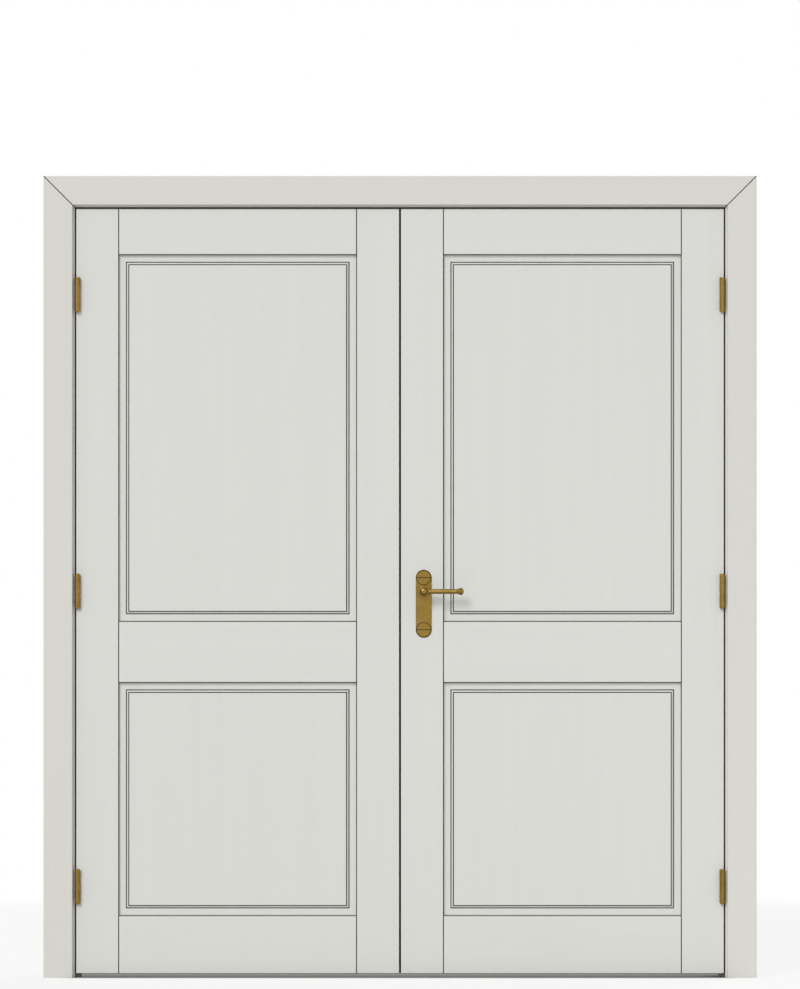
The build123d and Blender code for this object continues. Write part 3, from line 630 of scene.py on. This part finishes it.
def paint(name, colour, turn, shade, bare=None):
    """Satin paint with brush marks along the timber, uneven cover, painted shade where the shade mask gives
    it, and bare timber where given.
    """
    thin_share = 0.955
    thick_share = 1.025
    fine_share = 0.45
    rough_swing = 0.12
    mark_strength = 0.6
    settings = bpy.context.scene.door_paint
    material, tree, shader, place = new_material(name)
    feeds = {"Width": settings.stroke_width, "Length": settings.stroke_length}
    marks = use_group(tree, "drawn_marks", {"Vector": turn_pattern(tree, place, turn), **feeds})
    thin = [value * thin_share for value in colour]
    thick = [min(1.0, value * thick_share) for value in colour]
    fine = math_node(tree, "MULTIPLY", marks["Fine"], fine_share)
    broad = math_node(tree, "MULTIPLY", marks["Broad"], 1 - fine_share)
    coat = blend_colour(tree, math_node(tree, "ADD", fine, broad), thin, thick)
    # Painted shade: the dark joint colour is laid in where the shade mask is 1
    coat = blend_colour(tree, shade(tree, place), coat, tuple(settings.painted_joint_shade))
    if bare:
        coat = blend_colour(tree, bare(tree, place), coat, tuple(settings.timber_colour))
    tree.links.new(coat, shader.inputs["Base Color"])
    vary_roughness(tree, shader, marks["Broad"], settings.roughness, rough_swing)
    raise_marks(tree, shader, marks["Fine"], settings.stroke_depth, mark_strength)
    return material


def plate_recess(tree, place):
    """Patina in each disc's score and round its foot."""
    settings = bpy.context.scene.door_brass
    split = split_place(tree, place)
    discs = []
    for height in (PLATE_LOW.z + PLATE_HALF, PLATE_HIGH.z - PLATE_HALF):
        feeds = {
            "Vector": place, "Axis X": SPINDLE_MID.x, "Axis Z": height,
            "Radius": settings.disc_radius, "Width": settings.score_width,
        }
        ring = use_group(tree, "ring", feeds)
        line = math_node(tree, "COMPARE", split["Z"], height, settings.score_width / 2)
        score = math_node(tree, "MULTIPLY", line, ring["Inside"])
        discs.append(math_node(tree, "MAXIMUM", ring["Shade"], score))
    return math_node(tree, "MAXIMUM", *discs)


def lever_recess(tree, place):
    """Patina in the groove round the hub's button, and in the turned grooves at the lever's end."""
    settings = bpy.context.scene.door_brass
    feeds = {
        "Vector": place, "Axis X": SPINDLE_MID.x, "Axis Z": SPINDLE_MID.z,
        "Radius": settings.button_radius + settings.button_seat / 2, "Width": settings.button_seat,
    }
    ring = use_group(tree, "ring", feeds)["Shade"]
    split = split_place(tree, place)
    reach = math_node(tree, "ABSOLUTE", math_node(tree, "SUBTRACT", split["Y"], LEAF_MID))
    hub_face = (LEAF_MID - LEVER_LOW.y) * HUB_FACE_SHARE
    seat = math_node(tree, "MULTIPLY", ring, math_node(tree, "GREATER_THAN", reach, hub_face))
    half = settings.groove_width / 2
    outer = LEVER_HIGH.x - settings.knob_length + half
    inner = outer - settings.flare_length - settings.groove_width
    grooves = [math_node(tree, "COMPARE", split["X"], middle, half) for middle in (outer, inner)]
    return math_node(tree, "MAXIMUM", seat, math_node(tree, "MAXIMUM", *grooves))


def brass(name, colour, turn, recess=None):
    """Aged brass: polishing lines, brown bloom, a satin gloss, and dark patina where a recess is given."""
    bright_share = 1.16
    bloom_share = 0.45
    rough_swing = 0.16
    length_ratio = 60
    depth_share = 0.05
    line_strength = 0.5
    settings = bpy.context.scene.door_brass
    material, tree, shader, place = new_material(name)
    feeds = {"Width": settings.line_width, "Length": settings.line_width * length_ratio}
    lines = use_group(tree, "drawn_marks", {"Vector": turn_pattern(tree, place, turn), **feeds})
    blotch = use_group(tree, "bloom", {"Vector": place, "Size": settings.bloom_size})["Blotch"]
    bright = [min(1.0, value * bright_share) for value in colour]
    metal = blend_colour(tree, lines["Broad"], colour, bright)
    bloom = math_node(tree, "MULTIPLY", blotch, bloom_share)
    metal = blend_colour(tree, bloom, metal, tuple(settings.patina_colour))
    if recess:
        metal = blend_colour(tree, recess(tree, place), metal, tuple(settings.recess_colour))
    tree.links.new(metal, shader.inputs["Base Color"])
    vary_roughness(tree, shader, blotch, settings.roughness, rough_swing)
    raise_marks(tree, shader, lines["Fine"], settings.line_width * depth_share, line_strength)
    shader.inputs["Metallic"].default_value = 1.0
    return material


def plated_steel(name):
    """Zinc-plated steel: cool grey with soft crystal blotches."""
    rough_swing = 0.08
    settings = bpy.context.scene.door_steel
    material, tree, shader, place = new_material(name)
    blotch = use_group(tree, "bloom", {"Vector": place, "Size": settings.crystal_size})["Blotch"]
    plating = blend_colour(tree, blotch, tuple(settings.bright_colour), tuple(settings.dull_colour))
    tree.links.new(plating, shader.inputs["Base Color"])
    vary_roughness(tree, shader, blotch, settings.roughness, rough_swing)
    shader.inputs["Metallic"].default_value = 1.0
    return material


def pile(name):
    """Dense dark pile, a little uneven in colour."""
    light_share = 1.9
    settings = bpy.context.scene.door_seal
    material, tree, shader, place = new_material(name)
    blotch = use_group(tree, "bloom", {"Vector": place, "Size": settings.blotch_size})["Blotch"]
    light = [value * light_share for value in settings.colour]
    fibre = blend_colour(tree, blotch, tuple(settings.colour), light)
    tree.links.new(fibre, shader.inputs["Base Color"])
    shader.inputs["Roughness"].default_value = 0.95
    shader.inputs["Sheen Weight"].default_value = 0.25
    return material


def coat_node(name, material):
    """Gives a frame node its finish."""
    mesh = NODES[name].data
    mesh.materials.clear()
    mesh.materials.append(material)


def is_level(name):
    """True where a piece of timber lies along X."""
    low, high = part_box(name)
    return high.x - low.x > high.z - low.z


# Operators, one for each group of pieces

class DOORS_OT_finishes(bpy.types.Operator):
    """Builds the shared surface effects"""
    bl_idname = "doors.finishes"
    bl_label = "Surface effects"

    def execute(self, context):
        make_drawn_marks()
        make_sunk_shade()
        make_ring()
        make_inset_shade()
        make_core()
        make_bloom()
        return {"FINISHED"}


class DOORS_OT_timber(bpy.types.Operator):
    """Paints lining, stops, casings, stiles, rails and panels, with brush marks along each piece"""
    bl_idname = "doors.timber"
    bl_label = "Painted timber"

    def execute(self, context):
        settings = context.scene.door_paint
        leaf = tuple(settings.leaf_colour)
        lining = tuple(settings.frame_colour)
        kinds = {
            ("frame_paint", False): paint("frame_paint_upright", lining, UPRIGHT, mitre_shade),
            ("frame_paint", True): paint("frame_paint_level", lining, ALONG_X, mitre_shade),
            ("leaf_paint", False): paint("leaf_paint_upright", leaf, UPRIGHT, joint_shade, bare_mortices),
            ("leaf_paint", True): paint("leaf_paint_level", leaf, ALONG_X, joint_shade),
        }
        panels = {
            opening: paint(f"{opening}_panel_paint", leaf, UPRIGHT, quirk_shade(opening))
            for opening in OPENING_HEIGHTS
        }
        for name, slot in SLOT_OF.items():
            if name.endswith("_panel"):
                coat_node(name, panels["upper" if "upper" in name else "lower"])
            elif slot.endswith("_paint"):
                coat_node(name, kinds[slot, is_level(name)])
        return {"FINISHED"}


class DOORS_OT_brasswork(bpy.types.Operator):
    """Finishes hinges, screws, plates and levers in aged brass"""
    bl_idname = "doors.brasswork"
    bl_label = "Brass furniture"

    def execute(self, context):
        settings = context.scene.door_brass
        hinge = brass("hinge_brass", tuple(settings.hinge_colour), UPRIGHT)
        plate = brass("plate_brass", tuple(settings.handle_colour), UPRIGHT, plate_recess)
        lever = brass("lever_brass", tuple(settings.handle_colour), ALONG_X, lever_recess)
        aged = [(a + b) / 2 for a, b in zip(settings.hinge_colour, settings.patina_colour)]
        screw = brass("screw_brass", aged, UPRIGHT)
        for name, slot in SLOT_OF.items():
            if name.endswith("_lever"):
                coat_node(name, lever)
            elif slot == "handle_brass":
                coat_node(name, plate)
            elif name.endswith("_screws"):
                coat_node(name, screw)
            elif slot.endswith("_brass"):
                coat_node(name, hinge)
        return {"FINISHED"}


class DOORS_OT_latch(bpy.types.Operator):
    """Finishes the latch and the spindle in plated steel"""
    bl_idname = "doors.latch"
    bl_label = "Latch"

    def execute(self, context):
        steel = plated_steel("latch_steel")
        for name, slot in SLOT_OF.items():
            if slot == "latch_steel":
                coat_node(name, steel)
        return {"FINISHED"}


def seal_strip(settings):
    """The carrier: one closed outline, a shallow channel with a thin fin up its middle, drawn along Z.

    The fin is a soft film, and its tip stops just short of the other leaf."""
    face = LEAF_LOW.x
    inside = SEAL_HALF * (1 - LIP_SHARE)
    fin = settings.fin / 2
    side = [
        (SEAL_HIGH.x, SEAL_HALF), (face, SEAL_HALF), (face, inside), (CHANNEL_FLOOR, inside),
        (CHANNEL_FLOOR, fin), (SEAL_LOW.x - settings.fin_reach, fin),
    ]
    outline = np.array(side + [(x, -y) for x, y in reversed(side)])
    count = len(outline)
    points = np.empty((2, count, 3))
    points[..., 0] = outline[:, 0]
    points[..., 1] = outline[:, 1] + SEAL_MID
    points[..., 2] = [[SEAL_LOW.z], [SEAL_HIGH.z]]
    faces = grid_faces(2, count, wrap_columns=True).tolist()
    faces += [list(range(count))[::-1], list(range(count, 2 * count))]
    return points.reshape(-1, 3), faces


def seal_tufts(settings, first):
    """Tufts of pile: tapered five-sided spikes from the channel's floor to the far side of the gap.

    Each ring is a circle about the line from root to leaning tip, its radius falling from root to tip. The
    sides join ring to ring, and one face closes each end. The points' numbers start from the first."""
    random = np.random.default_rng(settings.seed)
    rows = np.linspace(-ROW_SHARE, ROW_SHARE, settings.rows) * SEAL_HALF
    steps = np.arange(SEAL_LOW.z + settings.pitch, SEAL_HIGH.z - settings.pitch, settings.pitch)
    row, step = (a.ravel() for a in np.meshgrid(rows, steps, indexing="ij"))
    count = len(row)
    across = SEAL_MID + row
    step = step + random.uniform(-1, 1, count) * settings.pitch * STEP_SHARE
    roots = np.stack([np.full(count, CHANNEL_FLOOR), across, step], axis=-1)
    lean = random.uniform(-1, 1, (count, 2)) * settings.pitch * LEAN_SHARE
    drop = random.uniform(0, 1, count) * (CHANNEL_FLOOR - SEAL_LOW.x) * DROP_SHARE
    tips = np.stack([SEAL_LOW.x + drop, across + lean[:, 0] * SIDE_LEAN_SHARE, step + lean[:, 1]], axis=-1)
    along = np.array(TUFT_PLACE_SHARES)
    radius = settings.pitch * np.array(TUFT_RADIUS_SHARES)
    angle = np.linspace(0, 2 * math.pi, TUFT_SIDES, endpoint=False)
    circle = np.stack([np.zeros(TUFT_SIDES), np.cos(angle), np.sin(angle)], axis=-1)
    line = roots[:, None] + along[None, :, None] * (tips - roots)[:, None]
    points = line[:, :, None] + radius[None, :, None, None] * circle
    rings = len(along)
    start = first + np.arange(count)[:, None, None] * rings * TUFT_SIDES
    sides = grid_faces(rings, TUFT_SIDES, wrap_columns=True)[:, ::-1]
    root = np.arange(TUFT_SIDES)
    tip = root[::-1] + (rings - 1) * TUFT_SIDES
    faces = (start + sides).reshape(-1, sides.shape[1]).tolist()
    faces += (start + np.stack([root, tip])).reshape(-1, TUFT_SIDES).tolist()
    return points.reshape(-1, 3), faces


class DOORS_OT_seal(bpy.types.Operator):
    """Builds the pile seal: a carrier strip with tufts of pile across the meeting gap"""
    bl_idname = "doors.seal"
    bl_label = "Pile seal"

    def execute(self, context):
        settings = context.scene.door_seal
        strip_points, strip_faces = seal_strip(settings)
        tuft_points, tuft_faces = seal_tufts(settings, len(strip_points))
        points = np.concatenate([strip_points, tuft_points])
        seal = new_piece("pile_seal", points, strip_faces + tuft_faces)
        seal.data.materials.append(pile("seal_pile"))
        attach(seal, BODY_OF["meeting_seal"])
        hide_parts("meeting_seal")
        return {"FINISHED"}


def soft_light(name, place, strength, softness):
    """A broad, distant light that shines from its place towards the origin, the same all over the doors."""
    lamp = bpy.data.lights.new(name, "SUN")
    lamp.energy = strength
    lamp.angle = softness
    light = bpy.data.objects.new(name, lamp)
    light.location = place
    light.rotation_mode = "QUATERNION"
    light.rotation_quaternion = (-Vector(place)).to_track_quat("-Z", "Y")
    bpy.context.scene.collection.objects.link(light)


def light_world(ambient):
    """White to the camera and in reflections, and a softer light on the doors."""
    world = bpy.data.worlds.new("studio")
    world.use_nodes = True
    tree = world.node_tree
    path = add_node(tree, "ShaderNodeLightPath")
    seen = math_node(tree, "MAXIMUM", path.outputs["Is Camera Ray"], path.outputs["Is Glossy Ray"])
    seen = math_node(tree, "MAXIMUM", seen, path.outputs["Is Transmission Ray"])
    strength = add_node(tree, "ShaderNodeMapRange", {"Value": seen, "To Min": ambient, "To Max": 1.0})
    back = tree.nodes["Background"]
    back.inputs["Color"].default_value = (1, 1, 1, 1)
    tree.links.new(strength.outputs["Result"], back.inputs["Strength"])
    bpy.context.scene.world = world


def floor_material(settings):
    """Pale floor with painted shade in the doorway, where it is coloured darker and not lifted to white for
    the camera; it keeps soft shadows near the doors and is white at its rim.

    The distance from the doorway is the length of the parts by which a point lies outside its rectangle."""
    fade_start_share = 0.45
    lift_share = 0.8
    material, tree, shader, place = new_material("pale_floor")
    shader.inputs["Roughness"].default_value = 0.9
    shader.inputs["Specular IOR Level"].default_value = 0
    radius = settings.floor_radius
    fade = smooth_ramp(tree, vector_node(tree, "LENGTH", place), radius * fade_start_share, radius)
    offset = vector_node(tree, "ABSOLUTE", vector_node(tree, "SUBTRACT", place, DOORWAY_MID))
    outside = vector_node(tree, "MAXIMUM", vector_node(tree, "SUBTRACT", offset, DOORWAY_HALF), (0, 0, 0))
    clear = smooth_ramp(tree, vector_node(tree, "LENGTH", outside), 0.0, settings.floor_lift)
    # Painted shade: a darker colour in the doorway, fading to the floor's own colour over the floor lift
    tone = blend_colour(tree, clear, tuple(settings.painted_doorway_shade), tuple(settings.floor_colour))
    tree.links.new(tone, shader.inputs["Base Color"])
    # Outside the doorway the floor glows towards white for the camera; the doorway is left out of the glow,
    # which keeps its painted shade
    white = math_node(tree, "MAXIMUM", fade, math_node(tree, "MULTIPLY", clear, lift_share))
    path = add_node(tree, "ShaderNodeLightPath")
    share = math_node(tree, "MULTIPLY", white, path.outputs["Is Camera Ray"])
    glow = add_node(tree, "ShaderNodeEmission")
    mix = add_node(tree, "ShaderNodeMixShader", {0: share, 1: shader.outputs[0], 2: glow.outputs[0]})
    tree.links.new(mix.outputs[0], tree.nodes["Material Output"].inputs["Surface"])
    return material


def floor_disc(settings):
    """A flat disc: rings of points, each at a radius and an angle round the origin."""
    radii = np.linspace(FLOOR_CORE, settings.floor_radius, FLOOR_RINGS)
    angles = np.linspace(0, 2 * math.pi, FLOOR_SPOKES, endpoint=False)
    radius, angle = np.meshgrid(radii, angles, indexing="ij")
    points = np.stack([radius * np.cos(angle), radius * np.sin(angle), np.zeros_like(radius)], axis=-1)
    faces = grid_faces(FLOOR_RINGS, FLOOR_SPOKES, wrap_columns=True)[:, ::-1].tolist()
    floor = new_piece("floor", points, faces + [list(range(FLOOR_SPOKES))])
    floor.data.materials.append(floor_material(settings))


class DOORS_OT_stage(bpy.types.Operator):
    """Sets the floor, the lights and the camera of a plain elevation"""
    bl_idname = "doors.stage"
    bl_label = "Stage"

    def execute(self, context):
        scene = context.scene
        settings = scene.door_stage
        scene.view_settings.view_transform = "Standard"
        floor_disc(settings)
        light_world(settings.ambient)
        soft_light("key", KEY_PLACE, settings.key_strength, settings.softness)
        soft_light("back", BACK_PLACE, settings.back_strength, settings.softness)
        data = bpy.data.cameras.new("elevation")
        data.lens = settings.lens
        data.sensor_width = SENSOR
        distance = PICTURE_HEIGHT * PIXEL * settings.lens / SENSOR
        data.clip_end = distance * SIGHT_SHARE
        camera = bpy.data.objects.new("elevation", data)
        camera.location = (0, LEAF_LOW.y - distance, VIEW_HEIGHT)
        camera.rotation_euler = (QUARTER_TURN, 0, 0)
        scene.collection.objects.link(camera)
        scene.camera = camera
        return {"FINISHED"}


GROUPS = {
    "door_paint": PaintSettings,
    "door_brass": BrassSettings,
    "door_steel": SteelSettings,
    "door_seal": SealSettings,
    "door_stage": StageSettings,
}
STEPS = (
    DOORS_OT_finishes, DOORS_OT_timber, DOORS_OT_brasswork, DOORS_OT_latch, DOORS_OT_seal, DOORS_OT_stage,
)


class DOORS_PT_sidebar(bpy.types.Panel):
    """Lists the steps that dress the doors, and their settings"""
    bl_label = "French Doors"
    bl_idname = "DOORS_PT_sidebar"
    bl_space_type = "VIEW_3D"
    bl_region_type = "UI"
    bl_category = "Doors"

    def draw(self, context):
        for step in STEPS:
            self.layout.operator(step.bl_idname)
        for group in GROUPS:
            settings = getattr(context.scene, group)
            for key in settings.__annotations__:
                self.layout.prop(settings, key)


CLASSES = (*GROUPS.values(), *STEPS, DOORS_PT_sidebar)


def register():
    """Adds the settings, the steps and the sidebar to Blender."""
    for entry in CLASSES:
        bpy.utils.register_class(entry)
    for group, kind in GROUPS.items():
        setattr(bpy.types.Scene, group, PointerProperty(type=kind))


def unregister():
    """Takes them out again, last first."""
    for group in GROUPS:
        delattr(bpy.types.Scene, group)
    for entry in reversed(CLASSES):
        bpy.utils.unregister_class(entry)


def main():
    """Dresses the doors step by step."""
    register()
    bpy.ops.doors.finishes()
    bpy.ops.doors.timber()
    bpy.ops.doors.brasswork()
    bpy.ops.doors.latch()
    bpy.ops.doors.seal()
    bpy.ops.doors.stage()


if __name__ == "__main__":
    main()
